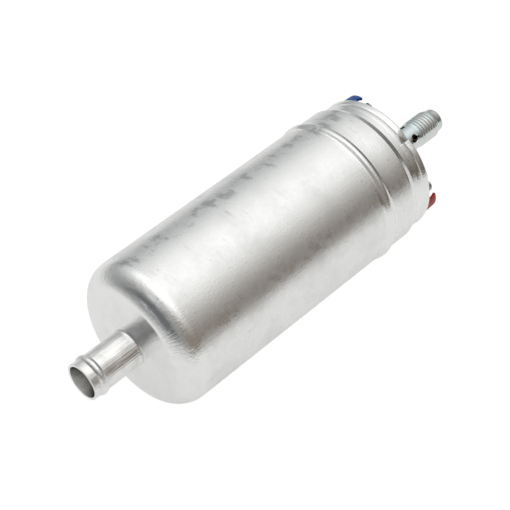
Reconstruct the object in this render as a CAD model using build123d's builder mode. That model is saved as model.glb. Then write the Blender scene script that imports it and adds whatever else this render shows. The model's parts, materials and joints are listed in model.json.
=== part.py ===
from build123d import *
import math
import os

# An electric in-line fuel pump with an inner-gear pump section, lying level. X runs along its axis
# towards the outlet and Z is up. The origin is on the axis, at the middle of the straight stretch of
# the can that a clamp band holds. Sizes are in millimetres, and a name that ends in _x is a station
# along the axis. Pieces that lie off the axis are drawn in a cross plane, rolled about X so that its
# x direction points at the negative terminal.

# Can
body_radius = 30.0
band_length = 95.0
can_wall = 1.2
crown_radius = 140.0
crease_step = 0.4
crease_width = 1.0
knuckle_radius = 10.8
knuckle_angle = 30.0
bead_width = 4.8
bead_height = 0.8
collar_step = 0.2
collar_length = 11.0
shoulder_length = 2.7
rim_step = 1.2
rim_length = 7.6
rim_round = 0.6
lip_width = 3.4
lip_thickness = 1.2
stake_width = 5.3
stake_length = 3.4
stake_depth = 0.7
stake_angle = 86.0

# Inlet stub
stub_length = 21.75
stub_radius = 7.45
stub_bore = 6.55
stub_lip = 0.4
stub_bead_radius = 8.2
stub_bead_width = 3.0
stub_bead_place = 4.6
stub_foot_radius = 7.9
stub_foot_length = 1.0
stub_spigot_radius = 7.3
clinch_radius = 9.2
clinch_thickness = 1.2

# Clearances
fit_gap = 0.1
can_gap = 0.3
run_gap = 0.3
shaft_gap = 0.05

# Pump section
pump_inset = 2.5
inlet_plate_length = 8.0
ring_length = 10.0
outlet_flange_length = 7.0
spigot_length = 2.0
plate_chamfer = 0.9
lobe_count = 7
lobe_centre_radius = 14.0
lobe_radius = 4.6
offset_of_axes = 1.4
mesh_gap = 0.12
outer_rotor_radius = 16.0
outer_rotor_root = 12.4
port_radius = 10.8
port_width = 3.2
port_span = 120.0
pump_screw_inset = 5.5
pump_screw_radius = 2.0
pump_screw_angle = 45.0
pump_screw_count = 4
screw_head_radius = 3.5
screw_head_length = 4.0
screw_socket = 3.0
screw_tip_gap = 1.0
shaft_recess = 4.0
o_ring_radius = 1.2
o_ring_place = 3.0

# Strainer
strainer_radius = 14.8
strainer_wall = 1.2
strainer_length = 5.4
strainer_windows = 6
strainer_window_angle = 48.0
mesh_thickness = 0.4

# Valves
relief_inset = 6.0
relief_ball_radius = 2.38
relief_seat_radius = 1.5
relief_seat_length = 2.5
relief_plug_radius = 3.2
relief_plug_length = 3.0
relief_plug_hole = 1.2
relief_wire = 0.3
relief_turns = 9
check_ball_radius = 3.18
check_seat_hole = 2.2
check_seat_length = 3.0
check_seat_inset = 0.7
check_chamber_radius = 4.4
check_chamber_length = 13.0
check_wire = 0.25
check_turns = 5
seat_gap = 0.2

# Motor
flux_wall = 2.5
magnet_thickness = 5.5
magnet_span = 150.0
magnet_overhang = 6.0
clip_span = 26.0
clip_thickness = 0.8
clip_leg = 3.6
air_gap = 0.8
front_clearance = 6.0
end_turn_length = 8.0
end_turn_inset = 0.3
end_turn_round = 2.6
rear_clearance = 3.0
slot_count = 8
slot_root = 9.5
tooth_tip = 1.7
slot_mouth = 1.6
tooth_angle = 18.0
slot_liner = 0.25
shaft_radius = 4.0
shaft_end_gap = 0.8
bush_radius = 7.0
bush_inset = 1.2
thrust_radius = 7.0
thrust_thickness = 0.8
commutator_radius = 9.0
commutator_length = 11.0
riser_radius = 10.4
riser_length = 1.9
riser_inset = 2.4
riser_angle = 18.0
segment_gap_angle = 2.4
commutator_hub_radius = 6.7

# Brush gear
carrier_length = 14.0
carrier_web = 3.0
carrier_wall = 4.2
web_hole_radius = 11.5
web_port_inset = 6.3
web_port_radius = 2.5
web_port_angle = 36.0
web_port_count = 4
brush_axial = 6.0
brush_width = 5.0
brush_length = 8.0
brush_gap = 0.1
tube_wall = 0.6
tube_inner_end = 10.5
brush_wire = 0.22
brush_spring_radius = 1.9
brush_turns = 4
bus_bar_thickness = 0.8
bus_bar_width = 5.0
bus_bar_lap = 3.7
choke_radius = 3.0
choke_core_radius = 1.6
choke_length = 7.5
choke_core_end = 1.0
choke_angle = 70.0
capacitor_width = 6.0
capacitor_thickness = 3.0
capacitor_length = 7.0
capacitor_angle = 110.0

# End cap
cap_length = 17.3
cap_chamfer = 0.8
cap_cavity_web = 2.6
cap_cavity_depth = 10.0
hub_radius = 9.6
hub_length = 7.5
hub_back = 0.7
hub_rib = 2.6
hub_rib_count = 3
hub_rib_angle = 30.0
cap_shoulder_lead = 0.6
rear_bush_length = 6.5
cap_floor_depth = 2.8
cap_land_width = 2.6
centre_boss_radius = 11.4
centre_boss_drop = 0.2
terminal_boss_radius = 4.9

# Terminals
terminal_roll = 32.6
terminal_boss_gap = 0.6
terminal_reach = 14.1
terminal_head_radius = 4.2
terminal_head_length = 1.8
terminal_seal_radius = 0.7
insulator_lift = 0.6
insulator_radius = 8.0
insulator_bore = 6.5
insulator_length = 9.4
insulator_floor = 1.4
insulator_opening = 64.0
positive_radius = 2.5
positive_pitch = 0.8
positive_nut_across = 8.0
positive_nut_height = 4.0
negative_radius = 2.0
negative_pitch = 0.7
negative_nut_across = 7.0
negative_nut_height = 3.2
washer_thickness = 1.0
washer_margin = 2.5

# Outlet fitting
seal_thickness = 0.8
seal_radius = 9.4
hex_across = 17.0
hex_turn = 30.0
hex_length = 8.0
seat_collar_radius = 7.6
seat_collar_length = 1.8
stud_radius = 5.5
stud_length = 12.6
outlet_thread_radius = 5.9
outlet_thread_turns = 6
outlet_pitch = 1.5
taper_length = 3.3
pilot_radius = 4.5
pilot_length = 1.5
pilot_round = 1.0
fitting_spigot_radius = 7.0
fitting_spigot_length = 8.1
passage_radius = 2.1
cross_hole_radius = 1.6
cross_hole_place = 9.2
cross_hole_angle = 18.0

# Radii that follow from the can and its clearances
collar_radius = body_radius - collar_step
rim_radius = collar_radius - rim_step
lip_radius = rim_radius - lip_width
crown_edge_radius = body_radius - knuckle_radius * (1 - math.sin(math.radians(knuckle_angle))) - crease_width
body_bore = body_radius - can_wall
collar_bore = collar_radius - can_wall
rim_bore = rim_radius - can_wall
stack_radius = collar_bore - fit_gap
flux_bore = stack_radius - flux_wall
magnet_radius = flux_bore - fit_gap
magnet_bore = magnet_radius - magnet_thickness
core_radius = magnet_bore - air_gap
slot_top = core_radius - tooth_tip
end_turn_radius = slot_top - end_turn_inset
carrier_bore = stack_radius - carrier_wall
cap_radius = collar_bore - can_gap
cap_neck_radius = rim_bore - can_gap
pump_screw_circle = stack_radius - pump_screw_inset
relief_circle = stack_radius - relief_inset
web_port_circle = carrier_bore - web_port_inset
terminal_circle = lip_radius - terminal_boss_radius - terminal_boss_gap
bus_bar_start = terminal_circle - bus_bar_lap
post_seal_reach = max(positive_radius, negative_radius) + 2 * (terminal_seal_radius + fit_gap)
cap_cavity_radius = terminal_circle - post_seal_reach - cap_cavity_web
tube_section = brush_width + 2 * (brush_gap + tube_wall)
tube_outer_end = math.sqrt((carrier_bore - fit_gap) ** 2 - (tube_section / 2) ** 2)

# Stations along the axis
band_start_x = -band_length / 2
bead_x = band_length / 2
collar_x = bead_x + bead_width
shoulder_x = collar_x + collar_length
rim_x = shoulder_x + shoulder_length
rim_end_x = rim_x + rim_length
lip_x = rim_end_x - lip_thickness
knuckle_x = band_start_x - knuckle_radius * math.cos(math.radians(knuckle_angle))
crown_edge_x = knuckle_x - crease_step
crown_x = crown_edge_x - crown_radius + math.sqrt(crown_radius**2 - crown_edge_radius**2)
mouth_x = crown_x - stub_length
pump_x = band_start_x - pump_inset
ring_x = pump_x + inlet_plate_length
outlet_plate_x = ring_x + ring_length
flux_x = outlet_plate_x + outlet_flange_length
outlet_plate_end_x = flux_x + spigot_length
cap_land_x = lip_x - fit_gap
cap_x = cap_land_x - cap_length
flux_end_x = cap_x - carrier_length
core_x = outlet_plate_end_x + front_clearance + end_turn_length
core_end_x = flux_end_x - rear_clearance - end_turn_length
riser_x = flux_end_x - riser_inset
web_end_x = flux_end_x + carrier_web
brush_x = web_end_x + tube_wall + brush_gap
tube_end_x = brush_x + brush_axial + brush_gap + tube_wall
hub_end_x = cap_x + hub_length
insulator_x = rim_end_x + insulator_lift
centre_boss_x = rim_end_x - centre_boss_drop
hex_x = centre_boss_x + seal_thickness
seat_x = hex_x + hex_length + seat_collar_length
thread_x = seat_x + stud_length
thread_end_x = thread_x + outlet_thread_turns * outlet_pitch
outlet_end_x = thread_end_x + taper_length + pilot_length
fitting_x = centre_boss_x - fitting_spigot_length
check_seat_x = fitting_x + check_seat_inset
check_chamber_end_x = check_seat_x + check_seat_length + check_chamber_length


# Rotors
rotor_x = ring_x + shaft_gap
rotor_length = ring_length - 2 * shaft_gap
inner_lobes = lobe_count - 1


def cross(x):
    """The cross plane at station x, with its x direction towards the negative terminal."""
    roll = math.radians(terminal_roll)
    return Plane(origin=(x, 0, 0), x_dir=(0, math.cos(roll), math.sin(roll)), z_dir=(1, 0, 0))


def place(x, radius, angle):
    """The point at station x and the given radius, at an angle in the cross plane."""
    turn_angle = math.radians(angle)
    return cross(x).from_local_coords((radius * math.cos(turn_angle), radius * math.sin(turn_angle), 0))


def direction(angle):
    """The outward direction at an angle in the cross plane."""
    return (place(0, 1, angle) - Vector(0, 0, 0)).normalized()


def turned(points, at=(0, 0), mode=Mode.ADD):
    """Turn a closed outline of (station, radius) points about an axis through a point of the cross plane."""
    centre = cross(0).from_local_coords((at[0], at[1], 0))
    with BuildSketch(Plane(origin=centre, x_dir=(1, 0, 0), z_dir=cross(0).x_dir)) as outline:
        with BuildLine():
            Polyline(*points, close=True)
        make_face()
    revolve(outline.sketch, axis=Axis(centre, (1, 0, 0)), mode=mode)


def disc(x, length, radius, at=(0, 0), mode=Mode.ADD):
    """A round bar from station x, centred at a point of the cross plane."""
    with BuildSketch(cross(x)) as outline:
        with Locations(at):
            Circle(radius)
    extrude(outline.sketch, amount=length, mode=mode)


def discs(x, length, radius, circle, count, start=0.0, mode=Mode.ADD):
    """Equal round bars from station x, spaced evenly on a circle."""
    with BuildSketch(cross(x)) as outline:
        with PolarLocations(circle, count, start_angle=start):
            Circle(radius)
    extrude(outline.sketch, amount=length, mode=mode)


def pump_holes(x, length, radius, mode=Mode.SUBTRACT):
    """Round holes or bars at the places of the pump screws, from station x."""
    discs(x, length, radius, pump_screw_circle, pump_screw_count, pump_screw_angle, mode)


def bar(x, length, near, far, width, side=1, mode=Mode.ADD):
    """A flat-sided bar from station x, from the near to the far radius on one terminal's side."""
    with BuildSketch(cross(x)) as outline:
        with Locations((side * (near + far) / 2, 0)):
            Rectangle(far - near, width)
    extrude(outline.sketch, amount=length, mode=mode)


def sector_face(x, inner, outer, start, span):
    """A face between two radii and two angles of the cross plane at station x."""
    with BuildSketch(cross(x)) as outline:
        with BuildLine():
            near = CenterArc((0, 0), inner, start, span)
            far = CenterArc((0, 0), outer, start, span)
            Line(near @ 0, far @ 0)
            Line(near @ 1, far @ 1)
        make_face()
    return outline.sketch


def sectors(x, length, inner, outer, middle, span, count=1, mode=Mode.ADD):
    """Equal ring sectors from station x, the first one centred on an angle."""
    for index in range(count):
        start = middle + index * 360 / count - span / 2
        extrude(sector_face(x, inner, outer, start, span), amount=length, mode=mode)


def thread_points(x, turns, pitch, crest):
    """The outline of a thread drawn as rings: crest, flank, root and flank for each turn."""
    depth = 5 / 8 * math.sqrt(3) / 2 * pitch
    points = []
    for turn in range(turns):
        base = x + turn * pitch
        points += [(base + pitch * 5 / 16, crest), (base + pitch * 7 / 16, crest)]
        points += [(base + pitch * 3 / 4, crest - depth), (base + pitch, crest - depth)]
    return points


def coil(start, along, length, radius, wire_radius, turns):
    """A coil spring as one swept wire, between two points of its axis."""
    height = length - 2 * wire_radius
    centre = start + along * wire_radius
    with BuildLine() as path:
        Helix(height / turns, height, radius, center=centre, direction=along)
    with BuildSketch(Plane(origin=path.line @ 0, z_dir=path.line % 0)) as wire:
        Circle(wire_radius)
    sweep(wire.sketch, path=path.line, is_frenet=True)


def save(piece, label):
    """Label a finished piece and write it to its own file."""
    piece.part.label = label
    export_step(piece.part, f"parts/{label}.step")


os.makedirs("parts", exist_ok=True)

# Can: a drawn cup with a domed end, a bead, a stepped collar and a rim rolled over the end cap
hole_radius = stub_spigot_radius + fit_gap
crown_centre = (crown_x + crown_radius, 0)
crown_bore = crown_radius - can_wall
edge_angle = math.degrees(math.asin(crown_edge_radius / crown_radius))
hole_angle = math.degrees(math.asin(hole_radius / crown_radius))
hole_bore_angle = math.degrees(math.asin(hole_radius / crown_bore))
knuckle_centre = (band_start_x, body_radius - knuckle_radius)
knuckle_sweep = 90 - knuckle_angle
bead_middle = bead_x + bead_width / 2
with BuildPart() as can:
    with BuildSketch(Plane.XY):
        with BuildLine():
            crown = CenterArc(crown_centre, crown_radius, 180 - hole_angle, hole_angle - edge_angle)
            knuckle = CenterArc(knuckle_centre, knuckle_radius, 180 - knuckle_angle, -knuckle_sweep)
            Line(crown @ 1, knuckle @ 0)
            Line((band_start_x, body_radius), (bead_x, body_radius))
            ThreePointArc(
                (bead_x, body_radius), (bead_middle, body_radius + bead_height), (collar_x, collar_radius)
            )
            Line((collar_x, collar_radius), (shoulder_x, collar_radius))
            Spline((shoulder_x, collar_radius), (rim_x, rim_radius), tangents=((1, 0), (1, 0)))
            Line((rim_x, rim_radius), (rim_end_x - rim_round, rim_radius))
            CenterArc((rim_end_x - rim_round, rim_radius - rim_round), rim_round, 90, -90)
            Polyline(
                (rim_end_x, rim_radius - rim_round),
                (rim_end_x, lip_radius),
                (lip_x, lip_radius),
                (lip_x, rim_bore),
                (rim_x, rim_bore),
            )
            Spline((rim_x, rim_bore), (shoulder_x, collar_bore), tangents=((-1, 0), (-1, 0)))
            Line((shoulder_x, collar_bore), (collar_x - can_wall / 2, collar_bore))
            ThreePointArc(
                (collar_x - can_wall / 2, collar_bore),
                (bead_middle, body_bore + bead_height),
                (bead_x + can_wall / 2, body_bore),
            )
            Line((bead_x + can_wall / 2, body_bore), (band_start_x, body_bore))
            bore_knuckle = CenterArc(knuckle_centre, knuckle_radius - can_wall, 90, knuckle_sweep)
            bore_crown = CenterArc(crown_centre, crown_bore, 180 - edge_angle, edge_angle - hole_bore_angle)
            Line(bore_knuckle @ 1, bore_crown @ 0)
            Line(bore_crown @ 1, crown @ 0)
        make_face()
    revolve(axis=Axis.X)
    with BuildSketch(cross(rim_end_x - stake_length)):
        with PolarLocations(rim_radius, 1, start_angle=stake_angle):
            Rectangle(2 * stake_depth, stake_width)
    extrude(amount=stake_length, mode=Mode.SUBTRACT)
save(can, "can")

# Inlet stub: a hose tube with a bead, clinched through the crown of the can
foot_x = crown_x + crown_radius - math.sqrt(crown_radius**2 - hole_radius**2) - fit_gap / 2
clinch_x = crown_x + crown_radius - math.sqrt(crown_bore**2 - clinch_radius**2) + fit_gap
stub_bead_x = mouth_x + stub_bead_place
with BuildPart() as inlet_stub:
    with BuildSketch(Plane.XY):
        with BuildLine():
            CenterArc((mouth_x + stub_lip, stub_bore + stub_lip), stub_lip, 270, -90)
            Line((mouth_x, stub_bore + stub_lip), (mouth_x, stub_radius - stub_lip))
            CenterArc((mouth_x + stub_lip, stub_radius - stub_lip), stub_lip, 180, -90)
            Line((mouth_x + stub_lip, stub_radius), (stub_bead_x - stub_bead_width / 2, stub_radius))
            ThreePointArc(
                (stub_bead_x - stub_bead_width / 2, stub_radius),
                (stub_bead_x, stub_bead_radius),
                (stub_bead_x + stub_bead_width / 2, stub_radius),
            )
            Polyline(
                (stub_bead_x + stub_bead_width / 2, stub_radius),
                (foot_x - stub_foot_length, stub_radius),
                (foot_x, stub_foot_radius),
                (foot_x, stub_spigot_radius),
                (clinch_x, stub_spigot_radius),
                (clinch_x, clinch_radius),
                (clinch_x + clinch_thickness, clinch_radius),
                (clinch_x + clinch_thickness, stub_bore),
                (mouth_x + stub_lip, stub_bore),
            )
        make_face()
    revolve(axis=Axis.X)
save(inlet_stub, "inlet_stub")

# Strainer: a moulded cage on the inlet plate, with a fine mesh cup inside it
strainer_x = pump_x - strainer_length
cage_bore = strainer_radius - strainer_wall
with BuildPart() as strainer_cage:
    disc(strainer_x, strainer_length, strainer_radius)
    disc(strainer_x, strainer_length, cage_bore, mode=Mode.SUBTRACT)
    sectors(
        strainer_x + strainer_wall,
        strainer_length - 2 * strainer_wall,
        cage_bore - fit_gap,
        strainer_radius + fit_gap,
        0,
        strainer_window_angle,
        strainer_windows,
        mode=Mode.SUBTRACT,
    )
save(strainer_cage, "strainer_cage")

with BuildPart() as strainer_mesh:
    disc(strainer_x, strainer_length, cage_bore - fit_gap)
    disc(
        strainer_x + mesh_thickness,
        strainer_length - mesh_thickness,
        cage_bore - fit_gap - mesh_thickness,
        mode=Mode.SUBTRACT,
    )
save(strainer_mesh, "strainer_mesh")

# Inlet plate: closes the front of the rotor chamber and carries the screw heads and relief plug
relief_bore = relief_ball_radius + run_gap
relief_point = (0, relief_circle)
screw_bore = pump_screw_radius + fit_gap
with BuildPart() as inlet_plate:
    turned(
        [
            (pump_x, 0),
            (pump_x, stack_radius - plate_chamfer),
            (pump_x + plate_chamfer, stack_radius),
            (ring_x, stack_radius),
            (ring_x, 0),
        ]
    )
    disc(ring_x - shaft_recess, shaft_recess, shaft_radius + run_gap, mode=Mode.SUBTRACT)
    sectors(
        pump_x,
        inlet_plate_length,
        port_radius - port_width / 2,
        port_radius + port_width / 2,
        270,
        port_span,
        mode=Mode.SUBTRACT,
    )
    pump_holes(pump_x, inlet_plate_length, screw_bore)
    pump_holes(pump_x, screw_head_length + fit_gap, screw_head_radius + fit_gap)
    disc(pump_x, inlet_plate_length, relief_bore, relief_point, Mode.SUBTRACT)
    disc(pump_x, relief_plug_length, relief_plug_radius + fit_gap, relief_point, Mode.SUBTRACT)
save(inlet_plate, "inlet_plate")

# Rotor ring: holds the outer rotor in a bore that is set off from the shaft
outer_centre = (-offset_of_axes, 0)
with BuildPart() as rotor_ring:
    disc(ring_x, ring_length, stack_radius)
    disc(ring_x, ring_length, outer_rotor_radius + shaft_gap, outer_centre, Mode.SUBTRACT)
    pump_holes(ring_x, ring_length, screw_bore)
    disc(ring_x, ring_length, relief_bore, relief_point, Mode.SUBTRACT)
save(rotor_ring, "rotor_ring")

# Outlet plate: closes the rotor chamber, carries the front bush, the relief seat and a seal groove
plate_spigot_radius = flux_bore - fit_gap
plate_groove_x = outlet_plate_x + o_ring_place
plate_o_ring_circle = body_bore - fit_gap - o_ring_radius
plate_groove_root = plate_o_ring_circle - o_ring_radius - fit_gap
groove_half = o_ring_radius + fit_gap
with BuildPart() as outlet_plate:
    turned(
        [
            (outlet_plate_x, 0),
            (outlet_plate_x, stack_radius),
            (plate_groove_x - groove_half, stack_radius),
            (plate_groove_x - groove_half, plate_groove_root),
            (plate_groove_x + groove_half, plate_groove_root),
            (plate_groove_x + groove_half, stack_radius),
            (flux_x, stack_radius),
            (flux_x, plate_spigot_radius),
            (outlet_plate_end_x, plate_spigot_radius),
            (outlet_plate_end_x, 0),
        ]
    )
    plate_length = outlet_plate_end_x - outlet_plate_x
    disc(outlet_plate_x, plate_length, shaft_radius + run_gap, mode=Mode.SUBTRACT)
    front_bush_x = outlet_plate_x + bush_inset
    disc(front_bush_x, plate_length - bush_inset, bush_radius + fit_gap, mode=Mode.SUBTRACT)
    sectors(
        outlet_plate_x,
        plate_length,
        port_radius - port_width / 2,
        port_radius + port_width / 2,
        90,
        port_span,
        mode=Mode.SUBTRACT,
    )
    screw_end_x = outlet_plate_end_x - screw_tip_gap
    pump_holes(outlet_plate_x, screw_end_x - outlet_plate_x, screw_bore)
    disc(outlet_plate_x, plate_length, relief_seat_radius, relief_point, Mode.SUBTRACT)
    relief_seat_x = outlet_plate_end_x - relief_seat_length
    disc(outlet_plate_x, relief_seat_x - outlet_plate_x, relief_bore, relief_point, Mode.SUBTRACT)
save(outlet_plate, "outlet_plate")

with BuildPart() as pump_o_ring:
    with BuildSketch(Plane.XY):
        with Locations((plate_groove_x, plate_o_ring_circle)):
            Circle(o_ring_radius)
    revolve(axis=Axis.X)
save(pump_o_ring, "pump_o_ring")

# Pump screws: four socket screws that clamp the two plates and the ring
head_end_x = pump_x + screw_head_length
with BuildPart() as pump_screws:
    pump_holes(pump_x, screw_head_length, screw_head_radius, Mode.ADD)
    shank_length = screw_end_x - fit_gap - head_end_x
    pump_holes(head_end_x, shank_length, pump_screw_radius, Mode.ADD)
    with BuildSketch(cross(pump_x)):
        with PolarLocations(pump_screw_circle, pump_screw_count, start_angle=pump_screw_angle):
            RegularPolygon(screw_socket / 2, 6, major_radius=False)
    extrude(amount=screw_head_length / 2, mode=Mode.SUBTRACT)
save(pump_screws, "pump_screws")

# Inner rotor: six teeth that roll in the seven lobes of the outer rotor
rotor_steps = 16 * inner_lobes
tooth_circle = lobe_radius + mesh_gap
rotor_outline = []
for step in range(rotor_steps):
    phi = 2 * math.pi * step / rotor_steps
    lean = lobe_centre_radius / (offset_of_axes * lobe_count) - math.cos((1 - lobe_count) * phi)
    psi = math.atan2(math.sin((1 - lobe_count) * phi), lean)
    rotor_u = lobe_centre_radius * math.cos(phi) - tooth_circle * math.cos(phi + psi)
    rotor_v = -lobe_centre_radius * math.sin(phi) + tooth_circle * math.sin(phi + psi)
    rotor_u -= offset_of_axes * math.cos(lobe_count * phi)
    rotor_v += offset_of_axes * math.sin(lobe_count * phi)
    rotor_outline.append((rotor_u, rotor_v))
with BuildPart() as inner_rotor:
    with BuildSketch(cross(rotor_x)):
        with BuildLine():
            Spline(*rotor_outline, periodic=True)
        make_face()
        Circle(shaft_radius + shaft_gap, mode=Mode.SUBTRACT)
    extrude(amount=rotor_length)
save(inner_rotor, "inner_rotor")

# Outer rotor: a ring whose seven lobes mesh with the inner rotor
with BuildPart() as outer_rotor:
    disc(rotor_x, rotor_length, outer_rotor_radius, outer_centre)
    with BuildSketch(cross(rotor_x)):
        with Locations(outer_centre):
            Circle(outer_rotor_root)
            with PolarLocations(lobe_centre_radius, lobe_count):
                Circle(lobe_radius, mode=Mode.SUBTRACT)
    extrude(amount=rotor_length, mode=Mode.SUBTRACT)
save(outer_rotor, "outer_rotor")

# Relief valve: a ball on a seat in the outlet plate, held by a spring and a drilled plug
relief_ball_x = relief_seat_x - math.sqrt(relief_ball_radius**2 - relief_seat_radius**2) - seat_gap
with BuildPart() as relief_ball:
    with Locations(place(relief_ball_x, relief_circle, 90)):
        Sphere(relief_ball_radius)
save(relief_ball, "relief_ball")

with BuildPart() as relief_plug:
    disc(pump_x, relief_plug_length, relief_plug_radius, relief_point)
    disc(pump_x, relief_plug_length, relief_plug_hole, relief_point, Mode.SUBTRACT)
save(relief_plug, "relief_plug")

relief_coil_radius = relief_ball_radius - seat_gap - 2 * relief_wire
relief_rise = math.sqrt(relief_ball_radius**2 - relief_coil_radius**2)
relief_spring_x = pump_x + relief_plug_length + fit_gap
relief_spring_length = relief_ball_x - relief_rise - seat_gap - relief_spring_x
with BuildPart() as relief_spring:
    relief_start = place(relief_spring_x, relief_circle, 90)
    coil(relief_start, Vector(1, 0, 0), relief_spring_length, relief_coil_radius, relief_wire, relief_turns)
save(relief_spring, "relief_spring")

# Flux ring, two arc magnets and the spring clips between them
with BuildPart() as flux_ring:
    disc(flux_x, flux_end_x - flux_x, stack_radius)
    disc(flux_x, flux_end_x - flux_x, flux_bore, mode=Mode.SUBTRACT)
save(flux_ring, "flux_ring")

magnet_x = core_x - magnet_overhang
magnet_length = core_end_x + magnet_overhang - magnet_x
for magnet_name, magnet_angle in (("magnet_north", 90), ("magnet_south", 270)):
    with BuildPart() as magnet:
        sectors(magnet_x, magnet_length, magnet_bore, magnet_radius, magnet_angle, magnet_span)
    save(magnet, magnet_name)

clip_leg_angle = math.degrees(clip_thickness / magnet_radius)
clip_leg_place = (clip_span - clip_leg_angle) / 2
clip_leg_bore = magnet_radius - clip_leg
with BuildPart() as magnet_clips:
    for clip_side in (0, 180):
        sectors(magnet_x, magnet_length, magnet_radius - clip_thickness, magnet_radius, clip_side, clip_span)
        for leg_angle in (clip_side - clip_leg_place, clip_side + clip_leg_place):
            sectors(magnet_x, magnet_length, clip_leg_bore, magnet_radius, leg_angle, clip_leg_angle)
save(magnet_clips, "magnet_clips")

# Armature: shaft, slotted core, windings, commutator and thrust washers
shaft_x = ring_x - shaft_recess + shaft_end_gap
shaft_end_x = hub_end_x - hub_back - shaft_end_gap
with BuildPart() as shaft:
    disc(shaft_x, shaft_end_x - shaft_x, shaft_radius)
    chamfer(shaft.edges().filter_by(GeomType.CIRCLE), shaft_radius / 10)
save(shaft, "shaft")

core_length = core_end_x - core_x
slot_pitch = 360 / slot_count
shaft_fit = shaft_radius + shaft_gap
with BuildPart() as armature_core:
    disc(core_x, core_length, core_radius)
    disc(core_x, core_length, shaft_fit, mode=Mode.SUBTRACT)
    slot_span = slot_pitch - tooth_angle
    sectors(core_x, core_length, slot_root, slot_top, slot_pitch / 2, slot_span, slot_count, Mode.SUBTRACT)
    with BuildSketch(cross(core_x)):
        with PolarLocations(core_radius, slot_count, start_angle=slot_pitch / 2):
            Rectangle(2 * (core_radius - slot_top) + air_gap, slot_mouth)
    extrude(amount=core_length, mode=Mode.SUBTRACT)
save(armature_core, "armature_core")

turn_inner = slot_root + slot_liner
turn_outer = slot_top - slot_liner
bundle_span = slot_span - math.degrees(2 * slot_liner / slot_root)
bundle_round = min(end_turn_round, (end_turn_radius - turn_inner) / 2 - fit_gap)
end_bundles = ((core_x - end_turn_length, core_x), (core_end_x, core_end_x + end_turn_length))
with BuildPart() as windings:
    for bundle_x, bundle_end_x in end_bundles:
        outward = math.copysign(fit_gap, core_x + core_length / 2 - bundle_x)
        first_x = bundle_x + max(-outward, 0)
        last_x = bundle_end_x - max(outward, 0)
        with BuildSketch(Plane.XY):
            with Locations(((first_x + last_x) / 2, (turn_inner + end_turn_radius) / 2)):
                RectangleRounded(last_x - first_x, end_turn_radius - turn_inner, bundle_round)
        revolve(axis=Axis.X)
    slot_x = core_x - end_turn_length / 2
    slot_run = core_length + end_turn_length
    sectors(slot_x, slot_run, turn_inner, turn_outer, slot_pitch / 2, bundle_span, slot_count)
save(windings, "windings")

commutator_x = flux_end_x
with BuildPart() as commutator_hub:
    hub_run = commutator_x + commutator_length - riser_x
    disc(riser_x, hub_run, commutator_hub_radius)
    disc(riser_x, hub_run, shaft_fit, mode=Mode.SUBTRACT)
save(commutator_hub, "commutator_hub")

with BuildPart() as commutator_segments:
    segment_bore = commutator_hub_radius + shaft_gap
    segment_span = slot_pitch - segment_gap_angle
    segment_run = commutator_x + commutator_length - riser_x - fit_gap
    sectors(riser_x, segment_run, segment_bore, commutator_radius, 0, segment_span, slot_count)
    sectors(riser_x, riser_length, segment_bore, riser_radius, 0, riser_angle, slot_count)
save(commutator_segments, "commutator_segments")

front_washer_x = outlet_plate_end_x + run_gap
rear_washer_x = cap_x - thrust_thickness
for washer_name, washer_x in (("thrust_washer_front", front_washer_x), ("thrust_washer_rear", rear_washer_x)):
    with BuildPart() as thrust_washer:
        disc(washer_x, thrust_thickness, thrust_radius)
        disc(washer_x, thrust_thickness, shaft_fit, mode=Mode.SUBTRACT)
    save(thrust_washer, washer_name)

# Bushes: sintered rings that carry the shaft
bush_bore = shaft_radius + shaft_gap
front_bush_length = outlet_plate_end_x - front_bush_x - fit_gap
rear_bush_x = hub_end_x - hub_back - rear_bush_length
for bush_name, bush_x, bush_length in (
    ("front_bush", front_bush_x + fit_gap, front_bush_length),
    ("rear_bush", rear_bush_x, rear_bush_length),
):
    with BuildPart() as bush:
        disc(bush_x, bush_length, bush_radius)
        disc(bush_x, bush_length, bush_bore, mode=Mode.SUBTRACT)
    save(bush, bush_name)

# Brush carrier: a moulded ring with a ported web, clamped between the flux ring and the end cap
with BuildPart() as brush_carrier:
    turned(
        [
            (flux_end_x - spigot_length, carrier_bore),
            (flux_end_x - spigot_length, plate_spigot_radius),
            (flux_end_x, plate_spigot_radius),
            (flux_end_x, stack_radius),
            (cap_x, stack_radius),
            (cap_x, carrier_bore),
            (web_end_x, carrier_bore),
            (web_end_x, web_hole_radius),
            (flux_end_x, web_hole_radius),
            (flux_end_x, carrier_bore),
        ]
    )
    with BuildSketch(cross(flux_end_x)):
        with PolarLocations(web_port_circle, web_port_count, start_angle=web_port_angle):
            Circle(web_port_radius)
    extrude(amount=carrier_web, mode=Mode.SUBTRACT)
save(brush_carrier, "brush_carrier")

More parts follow.
